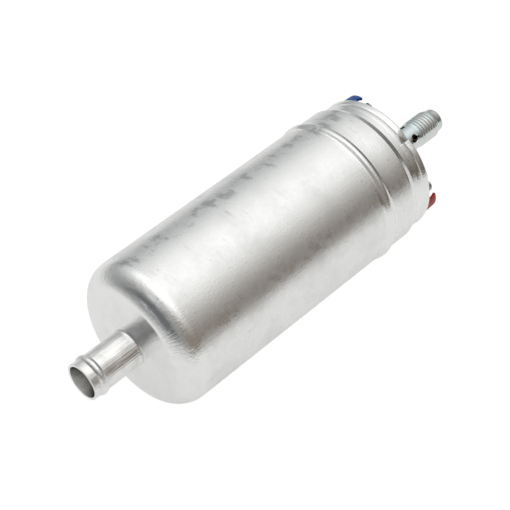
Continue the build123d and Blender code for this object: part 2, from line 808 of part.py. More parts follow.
# Terminals: each pole has a post, washer, nut and insulator outside, and its brush gear inside
head_x = cap_x - terminal_head_length
bus_bar_x = head_x - bus_bar_thickness
brush_start = commutator_radius + run_gap
brush_end = brush_start + brush_length
spring_end = tube_outer_end - tube_wall - fit_gap
tip_x = insulator_x + terminal_reach
washer_x = insulator_x + insulator_floor
nut_x = washer_x + washer_thickness
poles = (
    ("negative", 1, negative_radius, negative_pitch, negative_nut_across, negative_nut_height),
    ("positive", -1, positive_radius, positive_pitch, positive_nut_across, positive_nut_height),
)
for pole, side, post_radius, post_pitch, nut_across, nut_height in poles:
    centre = (side * terminal_circle, 0)
    thread_turns = int((tip_x - nut_x) / post_pitch)
    post_thread_x = tip_x - thread_turns * post_pitch
    with BuildPart() as post:
        turned(
            [
                (head_x, 0),
                (head_x, terminal_head_radius),
                (cap_x, terminal_head_radius),
                (cap_x, post_radius),
                (post_thread_x, post_radius),
                *thread_points(post_thread_x, thread_turns, post_pitch, post_radius),
                (tip_x, 0),
            ],
            centre,
        )
    save(post, f"{pole}_post")

    with BuildPart() as insulator:
        disc(insulator_x, insulator_floor, insulator_radius, centre)
        disc(insulator_x, insulator_floor, post_radius + fit_gap, centre, Mode.SUBTRACT)
        wall_start = 90 + insulator_opening / 2
        wall_span = 360 - insulator_opening
        with BuildSketch(cross(washer_x)):
            with BuildLine():
                inner_arc = CenterArc(centre, insulator_bore, wall_start, wall_span)
                outer_arc = CenterArc(centre, insulator_radius, wall_start, wall_span)
                Line(inner_arc @ 0, outer_arc @ 0)
                Line(inner_arc @ 1, outer_arc @ 1)
            make_face()
        extrude(amount=insulator_length - insulator_floor)
    save(insulator, f"{pole}_insulator")

    with BuildPart() as washer:
        disc(washer_x, washer_thickness, post_radius + washer_margin, centre)
        disc(washer_x, washer_thickness, post_radius + fit_gap, centre, Mode.SUBTRACT)
    save(washer, f"{pole}_washer")

    with BuildPart() as nut:
        with BuildSketch(cross(nut_x)):
            with Locations(centre):
                RegularPolygon(nut_across / 2, 6, major_radius=False)
                Circle(post_radius + shaft_gap, mode=Mode.SUBTRACT)
        extrude(amount=nut_height)
    save(nut, f"{pole}_nut")

    with BuildPart() as post_seal:
        seal_circle = post_radius + fit_gap + terminal_seal_radius
        seal_centre = cross(0).from_local_coords((side * terminal_circle, 0, 0))
        with BuildSketch(Plane(origin=seal_centre, x_dir=(1, 0, 0), z_dir=cross(0).x_dir)):
            with Locations((cap_x + fit_gap + terminal_seal_radius, seal_circle)):
                Circle(terminal_seal_radius)
        revolve(axis=Axis(seal_centre, (1, 0, 0)))
    save(post_seal, f"{pole}_post_seal")

    with BuildPart() as bus_bar:
        bar(bus_bar_x, bus_bar_thickness, bus_bar_start, tube_outer_end, bus_bar_width, side)
        leg_start = tube_outer_end - bus_bar_thickness
        bar(tube_end_x, bus_bar_x - tube_end_x, leg_start, tube_outer_end, bus_bar_width, side)
    save(bus_bar, f"{pole}_bus_bar")

    with BuildPart() as brush_tube:
        bar(web_end_x, tube_end_x - web_end_x, tube_inner_end, tube_outer_end, tube_section, side)
        pocket_length = brush_axial + 2 * brush_gap
        pocket_x = brush_x - brush_gap
        pocket_width = brush_width + 2 * brush_gap
        pocket_end = tube_outer_end - tube_wall
        bar(pocket_x, pocket_length, tube_inner_end, pocket_end, pocket_width, side, Mode.SUBTRACT)
    save(brush_tube, f"{pole}_brush_tube")

    with BuildPart() as brush:
        bar(brush_x, brush_axial, brush_start - brush_width / 4, brush_end, brush_width, side)
        disc(brush_x, brush_axial, brush_start, mode=Mode.SUBTRACT)
    save(brush, f"{pole}_brush")

    with BuildPart() as brush_spring:
        angle = 90 - 90 * side
        spring_start = place(brush_x + brush_axial / 2, brush_end + fit_gap, angle)
        spring_run = spring_end - brush_end - fit_gap
        coil(spring_start, direction(angle), spring_run, brush_spring_radius, brush_wire, brush_turns)
    save(brush_spring, f"{pole}_brush_spring")

# Suppression: two chokes and a capacitor that stand on the web, clear of the brush tubes
for choke_name, choke_place in (("positive_choke", choke_angle + 180), ("negative_choke", choke_angle)):
    choke_turn = math.radians(choke_place)
    choke_centre = (web_port_circle * math.cos(choke_turn), web_port_circle * math.sin(choke_turn))
    with BuildPart() as choke:
        disc(web_end_x, choke_length, choke_core_radius, choke_centre)
        winding_length = choke_length - 2 * choke_core_end
        disc(web_end_x + choke_core_end, winding_length, choke_radius, choke_centre)
    save(choke, choke_name)

with BuildPart() as capacitor:
    with BuildSketch(cross(web_end_x)):
        with PolarLocations(web_port_circle, 1, start_angle=capacitor_angle):
            RectangleRounded(capacitor_thickness, capacitor_width, capacitor_thickness / 3)
    extrude(amount=capacitor_length)
save(capacitor, "capacitor")

# End cap: moulded plug with a seal groove, bush hub on three ribs, centre boss and terminal bosses
cap_groove_x = cap_x + o_ring_place + o_ring_radius
cap_o_ring_circle = collar_bore - fit_gap - o_ring_radius
cap_groove_root = cap_o_ring_circle - o_ring_radius - fit_gap
cap_floor_x = cap_land_x - cap_floor_depth
neck_x = rim_x - shaft_gap
flange_end_x = shoulder_x - cap_shoulder_lead
cavity_end_x = cap_x + cap_cavity_depth
with BuildPart() as end_cap:
    turned(
        [
            (cap_x, cap_cavity_radius),
            (cap_x, cap_radius),
            (cap_groove_x - groove_half, cap_radius),
            (cap_groove_x - groove_half, cap_groove_root),
            (cap_groove_x + groove_half, cap_groove_root),
            (cap_groove_x + groove_half, cap_radius),
            (flange_end_x, cap_radius),
            (neck_x, cap_neck_radius),
            (cap_land_x - cap_chamfer, cap_neck_radius),
            (cap_land_x, cap_neck_radius - cap_chamfer),
            (cap_land_x, cap_neck_radius - cap_land_width),
            (cap_floor_x, cap_neck_radius - cap_land_width),
            (cap_floor_x, centre_boss_radius),
            (centre_boss_x, centre_boss_radius),
            (centre_boss_x, fitting_spigot_radius + fit_gap),
            (cavity_end_x, fitting_spigot_radius + fit_gap),
            (cavity_end_x, cap_cavity_radius),
        ]
    )
    disc(cap_x, hub_length, hub_radius)
    rib_reach = cap_cavity_radius + fit_gap
    with BuildSketch(cross(cap_x)):
        with PolarLocations(rib_reach / 2, hub_rib_count, start_angle=hub_rib_angle):
            Rectangle(rib_reach, hub_rib)
    extrude(amount=hub_length)
    disc(cap_x, hub_length, shaft_radius + run_gap, mode=Mode.SUBTRACT)
    disc(cap_x, hub_length - hub_back, bush_radius + fit_gap, mode=Mode.SUBTRACT)
    for pole, side, post_radius, post_pitch, nut_across, nut_height in poles:
        centre = (side * terminal_circle, 0)
        disc(cap_floor_x, insulator_x - cap_floor_x, terminal_boss_radius, centre)
        disc(cap_x, insulator_x - cap_x, post_radius + fit_gap, centre, Mode.SUBTRACT)
        seal_depth = 2 * (terminal_seal_radius + fit_gap)
        seal_reach = post_radius + 2 * (terminal_seal_radius + fit_gap)
        disc(cap_x, seal_depth, seal_reach, centre, Mode.SUBTRACT)
save(end_cap, "end_cap")

with BuildPart() as cap_o_ring:
    with BuildSketch(Plane.XY):
        with Locations((cap_groove_x, cap_o_ring_circle)):
            Circle(o_ring_radius)
    revolve(axis=Axis.X)
save(cap_o_ring, "cap_o_ring")

# Outlet fitting: spigot, hexagon, sealing collar and threaded stud, with a blind passage and cross holes
with BuildPart() as outlet_fitting:
    turned(
        [
            (fitting_x, 0),
            (fitting_x, fitting_spigot_radius),
            (hex_x, fitting_spigot_radius),
            (hex_x, seat_collar_radius),
            (seat_x, seat_collar_radius),
            (seat_x, stud_radius),
            (thread_x, stud_radius),
            *thread_points(thread_x, outlet_thread_turns, outlet_pitch, outlet_thread_radius),
            (thread_end_x + taper_length, pilot_radius),
            (outlet_end_x - pilot_round, pilot_radius),
            (outlet_end_x, pilot_radius - pilot_round),
            (outlet_end_x, 0),
        ]
    )
    with BuildSketch(cross(hex_x)):
        RegularPolygon(hex_across / 2, 6, major_radius=False, rotation=hex_turn)
    extrude(amount=hex_length)
    cross_hole_x = seat_x + cross_hole_place
    turned(
        [
            (fitting_x, 0),
            (fitting_x, check_chamber_radius),
            (check_chamber_end_x, check_chamber_radius),
            (check_chamber_end_x, passage_radius),
            (cross_hole_x + cross_hole_radius, passage_radius),
            (cross_hole_x + cross_hole_radius + passage_radius / 2, 0),
        ],
        mode=Mode.SUBTRACT,
    )
    for hole_turn in (cross_hole_angle, cross_hole_angle + 90):
        with BuildSketch(Plane(origin=(cross_hole_x, 0, 0), x_dir=(1, 0, 0), z_dir=direction(hole_turn))):
            Circle(cross_hole_radius)
        extrude(amount=stud_radius + fit_gap, both=True, mode=Mode.SUBTRACT)
save(outlet_fitting, "outlet_fitting")

with BuildPart() as fitting_seal:
    disc(centre_boss_x, seal_thickness, seal_radius)
    disc(centre_boss_x, seal_thickness, fitting_spigot_radius + fit_gap, mode=Mode.SUBTRACT)
save(fitting_seal, "fitting_seal")

# Check valve: a seat ring in the fitting's chamber, a ball and its spring
with BuildPart() as check_seat:
    disc(check_seat_x, check_seat_length, check_chamber_radius - shaft_gap)
    disc(check_seat_x, check_seat_length, check_seat_hole, mode=Mode.SUBTRACT)
save(check_seat, "check_seat")

check_rise = math.sqrt(check_ball_radius**2 - check_seat_hole**2)
check_ball_x = check_seat_x + check_seat_length + check_rise + seat_gap
with BuildPart() as check_ball:
    with Locations(place(check_ball_x, 0, 0)):
        Sphere(check_ball_radius)
save(check_ball, "check_ball")

check_coil_radius = passage_radius + 2 * check_wire
check_spring_x = check_ball_x + math.sqrt(check_ball_radius**2 - check_coil_radius**2) + seat_gap
with BuildPart() as check_spring:
    check_run = check_chamber_end_x - fit_gap - check_spring_x
    coil(place(check_spring_x, 0, 0), Vector(1, 0, 0), check_run, check_coil_radius, check_wire, check_turns)
save(check_spring, "check_spring")
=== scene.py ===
import json
import math

import bmesh
import bpy
from mathutils import Matrix, Vector


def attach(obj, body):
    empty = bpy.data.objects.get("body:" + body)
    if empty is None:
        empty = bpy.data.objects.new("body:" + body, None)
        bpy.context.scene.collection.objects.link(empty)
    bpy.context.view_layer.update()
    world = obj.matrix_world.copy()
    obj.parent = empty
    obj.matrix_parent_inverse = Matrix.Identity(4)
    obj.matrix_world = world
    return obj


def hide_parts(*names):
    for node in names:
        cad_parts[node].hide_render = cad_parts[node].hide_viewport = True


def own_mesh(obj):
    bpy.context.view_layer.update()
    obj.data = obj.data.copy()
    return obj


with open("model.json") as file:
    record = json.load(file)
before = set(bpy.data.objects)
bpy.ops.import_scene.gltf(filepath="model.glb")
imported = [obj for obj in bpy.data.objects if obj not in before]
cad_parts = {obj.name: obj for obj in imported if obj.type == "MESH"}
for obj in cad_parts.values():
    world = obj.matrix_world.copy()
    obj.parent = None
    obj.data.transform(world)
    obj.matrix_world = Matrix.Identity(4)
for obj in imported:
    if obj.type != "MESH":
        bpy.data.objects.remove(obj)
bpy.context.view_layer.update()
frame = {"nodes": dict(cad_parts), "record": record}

# An electric fuel pump, lying level on a pale floor. Sizes are in millimetres and are drawn at MM.
# X runs along the pump's axis towards the outlet and Z is up.
MM = 0.001

# Sizes that the pieces share with the CAD model
BODY_RADIUS = 30.0
BAND_END = 47.5
KNUCKLE_RADIUS = 10.8
KNUCKLE_ANGLE = 30.0
CROWN_RADIUS = 140.0
CREASE_STEP = 0.4
CREASE_WIDTH = 1.0
CAN_WALL = 1.2
BEAD_WIDTH = 4.8
BEAD_HEIGHT = 0.8
COLLAR_RADIUS = 29.8
RIM_RADIUS = 28.6
SHOULDER_X = 63.3
RIM_X = 66.0
RIM_END_X = 73.6
RIM_ROUND = 0.6
LIP_RADIUS = 25.2
LIP_X = 72.4
HOLE_RADIUS = 7.4
STAKE_ANGLE = 86.0
STAKE_WIDTH = 5.3
STAKE_LENGTH = 3.4
STAKE_DEPTH = 0.7
MOUTH_X = -81.0
STUB_RADIUS = 7.45
STUB_BEAD_RADIUS = 8.2
STUB_BORE = 6.55
STUB_END_X = -56.35
STUB_FLANGE_RADIUS = 9.2
TERMINAL_ROLL = 32.6
TERMINAL_CIRCLE = 19.7
SPIGOT_X = 65.3
SPIGOT_RADIUS = 7.0
HEX_X = 74.2
HEX_ACROSS = 17.0
HEX_LENGTH = 8.0
COLLAR_FOOT_RADIUS = 7.6
SEAT_X = 84.0
STUD_RADIUS = 5.5
FITTING_BORE_END_X = 82.0
FITTING_BORE = 4.4
PASSAGE_RADIUS = 2.1
CROSS_HOLE_X = 93.2
CROSS_HOLE_RADIUS = 1.6
CROSS_HOLE_TURNS = (18.0, 108.0)
THREAD_PITCH = 1.5
THREAD_X = 96.6
THREAD_END_X = 105.6
OUTLET_END_X = 110.4
POST_HEAD_X = 53.2
POST_HEAD_END_X = 55.0
POST_HEAD_RADIUS = 4.2
POST_TIP_X = 88.3
INSULATOR_X = 74.2
INSULATOR_RADIUS = 8.0
INSULATOR_BORE = 6.5
INSULATOR_LENGTH = 9.4
INSULATOR_FLOOR = 1.4
INSULATOR_OPENING = 64.0
NUT_X = 76.6

# Small forms that only the scene has. The stud's wound thread is shallower than that of its solid.
THREAD_CREST = 5.87
THREAD_DEPTH = 0.30
THREAD_SHARPNESS = 3.0
BEAD_CREST = 0.55
CREASE_X = 70.7
RIM_FLARE = 0.14
CLAW_NOTCH = 13.0
CLAW_NOTCH_X = 80.9
CLAW_DRAFT = 0.3

# Limits of the meshes: merging distances, and the angle past which an edge stays sharp
MERGE = 0.002
DEGENERATE = 0.001
SHARP_ANGLE = 32.0


# Curves and meshes

def arc(centre, radius, start, end, steps):
    """Points (station, radius) along an arc, with angles in degrees."""
    points = []
    for step in range(steps + 1):
        angle = math.radians(start + (end - start) * step / steps)
        points.append((centre[0] + radius * math.cos(angle), centre[1] + radius * math.sin(angle)))
    return points


def through(first, middle, last, steps):
    """Points along the circle arc through three points."""
    (ax, ay), (bx, by), (cx, cy) = first, middle, last
    d = 2 * (ax * (by - cy) + bx * (cy - ay) + cx * (ay - by))
    ux = ((ax**2 + ay**2) * (by - cy) + (bx**2 + by**2) * (cy - ay) + (cx**2 + cy**2) * (ay - by)) / d
    uy = ((ax**2 + ay**2) * (cx - bx) + (bx**2 + by**2) * (ax - cx) + (cx**2 + cy**2) * (bx - ax)) / d
    radius = math.hypot(ax - ux, ay - uy)
    start = math.degrees(math.atan2(ay - uy, ax - ux))
    end = math.degrees(math.atan2(cy - uy, cx - ux))
    return arc((ux, uy), radius, start, end, steps)


def swing(first, last, steps):
    """Points along an S curve that is level at both ends."""
    points = []
    for step in range(steps + 1):
        t = step / steps
        rise = t * t * (3 - 2 * t)
        points.append((first[0] + (last[0] - first[0]) * t, first[1] + (last[1] - first[1]) * rise))
    return points


def runs(points, longest):
    """The same outline with its long straight runs divided, so that a push can bend it."""
    made = [points[0]]
    for point in points[1:]:
        last = made[-1]
        count = max(1, math.ceil(math.dist(last, point) / longest))
        for step in range(1, count + 1):
            share = step / count
            made.append((last[0] + (point[0] - last[0]) * share, last[1] + (point[1] - last[1]) * share))
    return made


def make_object(name, verts, faces):
    """A new object in the scene, from points in metres and faces."""
    mesh = bpy.data.meshes.new(name)
    mesh.from_pydata(verts, [], faces)
    obj = bpy.data.objects.new(name, mesh)
    bpy.context.scene.collection.objects.link(obj)
    return obj


def turned(x, radius, angle, centre):
    """The point in metres at a station, a radius and an angle in radians about a line along X."""
    y = centre[0] + radius * math.cos(angle)
    z = centre[1] + radius * math.sin(angle)
    return (x * MM, y * MM, z * MM)


def finish_mesh(obj):
    """Merge doubles, drop loose edges, face the normals outward and smooth all but the sharp edges."""
    mesh = bmesh.new()
    mesh.from_mesh(obj.data)
    bmesh.ops.remove_doubles(mesh, verts=mesh.verts, dist=MERGE * MM)
    bmesh.ops.dissolve_degenerate(mesh, edges=mesh.edges, dist=DEGENERATE * MM)
    loose = [edge for edge in mesh.edges if not edge.link_faces]
    bmesh.ops.delete(mesh, geom=loose, context="EDGES")
    bmesh.ops.recalc_face_normals(mesh, faces=mesh.faces)
    mesh.to_mesh(obj.data)
    mesh.free()
    obj.data.polygons.foreach_set("use_smooth", [True] * len(obj.data.polygons))
    obj.data.set_sharp_from_angle(angle=math.radians(SHARP_ANGLE))
    obj.data.update()
    return obj


def lathe(name, outline, angles, centre=(0.0, 0.0), push=None):
    """Turn a closed outline of (station, radius) points about a line along X. Angles run from +Y to +Z."""
    if isinstance(angles, int):
        angles = [360 * step / angles for step in range(angles)]
    verts = []
    for angle in angles:
        turn = math.radians(angle)
        for x, radius in outline:
            pushed = push(x, radius, angle) if push else radius
            verts.append(turned(x, pushed, turn, centre))
    count = len(outline)
    faces = []
    for i in range(len(angles)):
        j = (i + 1) % len(angles)
        for k in range(count):
            m = (k + 1) % count
            faces.append((i * count + k, i * count + m, j * count + m, j * count + k))
    return finish_mesh(make_object(name, verts, faces))


def prism(name, x, length, across, sides=6, turn=0.0, centre=(0.0, 0.0)):
    """A bar with flat sides along X. The turn is that of its first corner, from +Y to +Z."""
    corner = across / 2 / math.cos(math.pi / sides)
    verts = []
    for station in (x, x + length):
        for side in range(sides):
            angle = math.radians(turn) + 2 * math.pi * side / sides
            verts.append(turned(station, corner, angle, centre))
    faces = [tuple(range(sides)), tuple(range(2 * sides - 1, sides - 1, -1))]
    for side in range(sides):
        after = (side + 1) % sides
        faces.append((side, side + sides, after + sides, after))
    return finish_mesh(make_object(name, verts, faces))


def bake(obj):
    """Keep what the modifiers of an object make as its mesh."""
    graph = bpy.context.evaluated_depsgraph_get()
    made = bpy.data.meshes.new_from_object(obj.evaluated_get(graph))
    obj.modifiers.clear()
    obj.data = made


def carve(target, tool, operation="DIFFERENCE"):
    """Cut the tool from the target, join them or keep what they share, and drop the tool."""
    cut = target.modifiers.new("carve", "BOOLEAN")
    cut.operation = operation
    cut.solver = "EXACT"
    cut.object = tool
    bake(target)
    bpy.data.objects.remove(tool)
    return finish_mesh(target)


def soften(obj, width, segments, angle=35.0):
    """Round the sharp edges of a finished mesh and keep the rounds in it."""
    bevel = obj.modifiers.new("edges", "BEVEL")
    bevel.width = width * MM
    bevel.segments = segments
    bevel.limit_method = "ANGLE"
    bevel.angle_limit = math.radians(angle)
    bake(obj)
    return finish_mesh(obj)


def smooth_step(value, low, high):
    """0 below low, 1 above high and smooth between."""
    t = min(max((value - low) / (high - low), 0.0), 1.0)
    return t * t * (3 - 2 * t)


def helix(start, end, crest, pitch, plain, fade, depth, sharpness=1.0):
    """A push that winds a thread between two stations and fades it out. Sharpness narrows its groove."""

    def push(x, radius, angle):
        phase = (x - start) / pitch - angle / 360
        wound = crest - depth * abs(math.cos(math.pi * phase)) ** (2 * sharpness)
        share = smooth_step(x, start - fade / 2, start + fade / 2)
        share *= 1 - smooth_step(x, end - fade / 2, end + fade / 2)
        return radius + (wound - radius) * share if radius > plain - 0.01 else radius

    return push


# Materials

def node(tree, kind, inputs=None, **settings):
    """Add a shader node, with its settings and with values or links for its inputs."""
    made = tree.nodes.new(kind)
    for key, value in settings.items():
        setattr(made, key, value)
    for socket, value in (inputs or {}).items():
        if isinstance(value, bpy.types.NodeSocket):
            tree.links.new(value, made.inputs[socket])
        else:
            made.inputs[socket].default_value = value
    return made


def noise(tree, vector, scale, detail=3.0, roughness=0.55, stretch=(1.0, 1.0, 1.0), distortion=0.0):
    """Noise at a scale in features per metre, stretched along the axes."""
    stretched = node(tree, "ShaderNodeVectorMath", {0: vector, 1: stretch}, operation="MULTIPLY")
    inputs = {
        "Vector": stretched.outputs[0],
        "Scale": scale,
        "Detail": detail,
        "Roughness": roughness,
        "Distortion": distortion,
    }
    return node(tree, "ShaderNodeTexNoise", inputs).outputs["Fac"]


def remap(tree, value, low, high, to_low=0.0, to_high=1.0):
    """Map a value from one range to another along an S curve and hold it there."""
    inputs = {"Value": value, "From Min": low, "From Max": high, "To Min": to_low, "To Max": to_high}
    return node(tree, "ShaderNodeMapRange", inputs, interpolation_type="SMOOTHSTEP", clamp=True).outputs[0]


def maths(tree, operation, first, second=0.0):
    """One arithmetic step."""
    return node(tree, "ShaderNodeMath", {0: first, 1: second}, operation=operation).outputs[0]


def blend_colour(tree, share, first, second):
    """Mix two colours by a share."""
    made = node(tree, "ShaderNodeMix", data_type="RGBA", blend_type="MIX")
    for index, value in ((0, share), (6, first), (7, second)):
        if isinstance(value, bpy.types.NodeSocket):
            tree.links.new(value, made.inputs[index])
        elif index:
            made.inputs[index].default_value = (*value, 1.0)
        else:
            made.inputs[index].default_value = value
    return made.outputs[2]


def bump(tree, height, distance, normal=None):
    """A bump of a height in millimetres, on top of another."""
    inputs = {"Height": height, "Distance": distance * MM, "Strength": 1.0}
    if normal is not None:
        inputs["Normal"] = normal
    return node(tree, "ShaderNodeBump", inputs).outputs[0]


def start_material(name):
    """An empty material with a surface shader, its tree and the piece's own coordinates."""
    made = bpy.data.materials.new(name)
    made.use_nodes = True
    tree = made.node_tree
    tree.nodes.clear()
    shader = node(tree, "ShaderNodeBsdfPrincipled")
    output = node(tree, "ShaderNodeOutputMaterial")
    tree.links.new(shader.outputs[0], output.inputs["Surface"])
    place = node(tree, "ShaderNodeTexCoord").outputs["Object"]
    return made, tree, shader, place


def unrolled(tree, place):
    """Coordinates unrolled about X (station, arc at the can's radius, radius), and angle, radius, station."""
    parts = node(tree, "ShaderNodeSeparateXYZ", {0: place}).outputs
    angle = maths(tree, "ARCTAN2", parts[1], parts[2])
    along = maths(tree, "MULTIPLY", angle, BODY_RADIUS * MM)
    across = maths(tree, "MULTIPLY", parts[1], parts[1])
    upward = maths(tree, "MULTIPLY", parts[2], parts[2])
    radius = maths(tree, "SQRT", maths(tree, "ADD", across, upward))
    flat = node(tree, "ShaderNodeCombineXYZ", {0: parts[0], 1: along, 2: radius}).outputs[0]
    return flat, angle, radius, parts[0]


def plain_finish(name, base, worn, metallic, rough, grain, depth, stretch=(1.0, 1.0, 1.0)):
    """A finish with patches of a second tone, and a fine grain in its roughness and height."""
    made, tree, shader, place = start_material(name)
    patches = noise(tree, place, 140.0, detail=4.0, roughness=0.6)
    fine = noise(tree, place, grain, detail=3.0, stretch=stretch)
    share = remap(tree, patches, 0.38, 0.68)
    tree.links.new(blend_colour(tree, share, base, worn), shader.inputs["Base Color"])
    mixed = maths(tree, "ADD", maths(tree, "MULTIPLY", fine, 0.6), maths(tree, "MULTIPLY", patches, 0.4))
    tree.links.new(remap(tree, mixed, 0.3, 0.7, rough[0], rough[1]), shader.inputs["Roughness"])
    tree.links.new(bump(tree, fine, depth), shader.inputs["Normal"])
    shader.inputs["Metallic"].default_value = metallic
    return made


def can_finish():
    """Satin drawn aluminium: axial draw marks, a mottled grain, smudges and scuffs round the can."""
    made, tree, shader, place = start_material("satin_aluminium")
    flat, angle, radius, station = unrolled(tree, place)
    clouds = noise(tree, place, 70.0, detail=4.0, roughness=0.62)
    mottle = noise(tree, place, 420.0, detail=4.0, roughness=0.65)
    fine = noise(tree, place, 1500.0, detail=2.0, roughness=0.6)
    draw = noise(tree, flat, 900.0, detail=4.0, roughness=0.7, stretch=(0.04, 1.0, 0.04))
    hairs = noise(tree, flat, 1300.0, detail=3.0, roughness=0.6, stretch=(0.35, 1.0, 0.35))
    rolled = noise(tree, flat, 640.0, detail=3.0, roughness=0.6, stretch=(1.0, 0.16, 1.0))
    where = noise(tree, flat, 75.0, detail=2.0, stretch=(1.0, 0.7, 1.0))
    near_top = maths(tree, "SUBTRACT", angle, math.radians(21.0))
    zone = remap(tree, maths(tree, "ABSOLUTE", near_top), math.radians(30.0), math.radians(6.0))
    on_side = remap(tree, radius, 29.0 * MM, 29.9 * MM)
    often = maths(tree, "ADD", maths(tree, "MULTIPLY", zone, 0.8), 0.2)
    dashes = maths(tree, "MULTIPLY", remap(tree, rolled, 0.53, 0.68), remap(tree, where, 0.5, 0.64))
    scuffs = maths(tree, "MULTIPLY", maths(tree, "MULTIPLY", dashes, often), on_side)
    smudged = noise(tree, flat, 190.0, detail=3.0, roughness=0.6, stretch=(1.0, 0.5, 1.0))
    row = remap(tree, maths(tree, "ABSOLUTE", near_top), math.radians(12.0), math.radians(4.0))
    smudges = maths(tree, "MULTIPLY", maths(tree, "MULTIPLY", remap(tree, smudged, 0.50, 0.62), row), on_side)
    marks = maths(tree, "MAXIMUM", scuffs, smudges)
    dull = maths(tree, "ADD", remap(tree, clouds, 0.42, 0.75, 0.0, 0.20), maths(tree, "MULTIPLY", marks, 0.8))
    colour = blend_colour(tree, dull, (0.93, 0.935, 0.925), (0.56, 0.57, 0.565))
    dots = noise(tree, place, 700.0, detail=1.0, roughness=0.4)
    specks = maths(tree, "MULTIPLY", remap(tree, dots, 0.73, 0.82), 0.35)
    tree.links.new(blend_colour(tree, specks, colour, (0.30, 0.30, 0.29)), shader.inputs["Base Color"])
    grain = maths(tree, "ADD", maths(tree, "MULTIPLY", mottle, 0.6), maths(tree, "MULTIPLY", clouds, 0.4))
    satin = remap(tree, grain, 0.32, 0.7, 0.24, 0.38)
    polished = remap(tree, hairs, 0.36, 0.64, 0.04, 0.20)
    domed = remap(tree, grain, 0.32, 0.7, 0.17, 0.28)
    body_start = remap(tree, station, -0.0500, -0.0460)
    body = maths(tree, "MULTIPLY", body_start, remap(tree, station, 0.0472, 0.0462))
    collar_start = remap(tree, station, 0.0522, 0.0534)
    collar = maths(tree, "MULTIPLY", collar_start, remap(tree, station, 0.0634, 0.0624))
    crown = remap(tree, station, -0.0565, -0.0580)
    plain = maths(tree, "MAXIMUM", body, collar)
    kept = maths(tree, "MULTIPLY", satin, plain)
    off_crown = maths(tree, "MULTIPLY", polished, maths(tree, "SUBTRACT", 1.0, crown))
    ends = maths(tree, "ADD", maths(tree, "MULTIPLY", domed, crown), off_crown)
    shone = maths(tree, "MULTIPLY", ends, maths(tree, "SUBTRACT", 1.0, plain))
    tree.links.new(maths(tree, "ADD", kept, shone), shader.inputs["Roughness"])
    normal = bump(tree, clouds, 0.026)
    normal = bump(tree, mottle, 0.004, normal)
    normal = bump(tree, draw, 0.030, normal)
    normal = bump(tree, fine, 0.055, normal)
    past_body = remap(tree, station, -0.0490, -0.0515)
    knuckle = maths(tree, "MULTIPLY", past_body, remap(tree, station, -0.0575, -0.0565))
    scratches = maths(tree, "MULTIPLY", maths(tree, "SUBTRACT", hairs, 0.5), knuckle)
    normal = bump(tree, scratches, 0.12, normal)
    tree.links.new(normal, shader.inputs["Normal"])
    shader.inputs["Metallic"].default_value = 1.0
    return made


def stub_finish():
    """Bright turned aluminium with fine marks along the tube."""
    made, tree, shader, place = start_material("bright_aluminium")
    marks = noise(tree, place, 1500.0, detail=3.0, roughness=0.6, stretch=(0.05, 1.0, 1.0))
    clouds = noise(tree, place, 160.0, detail=4.0, roughness=0.6)
    colour = blend_colour(tree, remap(tree, clouds, 0.4, 0.75), (0.93, 0.925, 0.915), (0.74, 0.735, 0.72))
    tree.links.new(colour, shader.inputs["Base Color"])
    mixed = maths(tree, "ADD", maths(tree, "MULTIPLY", marks, 0.5), maths(tree, "MULTIPLY", clouds, 0.5))
    tree.links.new(remap(tree, mixed, 0.32, 0.68, 0.06, 0.14), shader.inputs["Roughness"])
    bands = noise(tree, place, 1400.0, detail=3.0, roughness=0.65, stretch=(0.015, 1.0, 1.0))
    normal = bump(tree, clouds, 0.012)
    normal = bump(tree, bands, 0.22, normal)
    normal = bump(tree, marks, 0.004, normal)
    tree.links.new(normal, shader.inputs["Normal"])
    shader.inputs["Metallic"].default_value = 1.0
    return made


def zinc_finish():
    """Bright zinc plate with a faint blue and green tint that drifts over it, and painted shade inside its
    bore.
    """
    made, tree, shader, place = start_material("zinc_plate")
    drift = noise(tree, place, 95.0, detail=2.0, roughness=0.5, distortion=0.4)
    warm = noise(tree, place, 150.0, detail=2.0, roughness=0.5)
    grain = noise(tree, place, 1500.0, detail=3.0, roughness=0.65)
    tint = blend_colour(tree, remap(tree, drift, 0.40, 0.62), (0.78, 0.80, 0.78), (0.66, 0.74, 0.75))
    colour = blend_colour(tree, remap(tree, warm, 0.50, 0.72, 0.0, 0.5), tint, (0.67, 0.64, 0.54))
    _, _, radius, station = unrolled(tree, place)
    # Painted shade: inside the bore and the cross holes the base colour turns dark brown, where shade falls
    # in the recess.
    inward = remap(tree, radius, 5.0 * MM, 4.8 * MM)
    bore_painted_shade = maths(tree, "MULTIPLY", inward, remap(tree, station, 0.098, 0.097))
    tree.links.new(blend_colour(tree, bore_painted_shade, colour, (0.26, 0.23, 0.16)), shader.inputs["Base Color"])
    tree.links.new(remap(tree, grain, 0.3, 0.7, 0.13, 0.22), shader.inputs["Roughness"])
    tree.links.new(bump(tree, grain, 0.004), shader.inputs["Normal"])
    shader.inputs["Metallic"].default_value = 1.0
    return made


def moulding(name, base, edge, rough):
    """Moulded plastic with faint flow patches and an eroded mould texture."""
    made, tree, shader, place = start_material(name)
    flow = noise(tree, place, 180.0, detail=3.0, roughness=0.5, distortion=0.8)
    texture = noise(tree, place, 2600.0, detail=2.0, roughness=0.6)
    tree.links.new(blend_colour(tree, remap(tree, flow, 0.38, 0.66), base, edge), shader.inputs["Base Color"])
    tree.links.new(remap(tree, texture, 0.3, 0.7, rough[0], rough[1]), shader.inputs["Roughness"])
    tree.links.new(bump(tree, texture, 0.006), shader.inputs["Normal"])
    return made


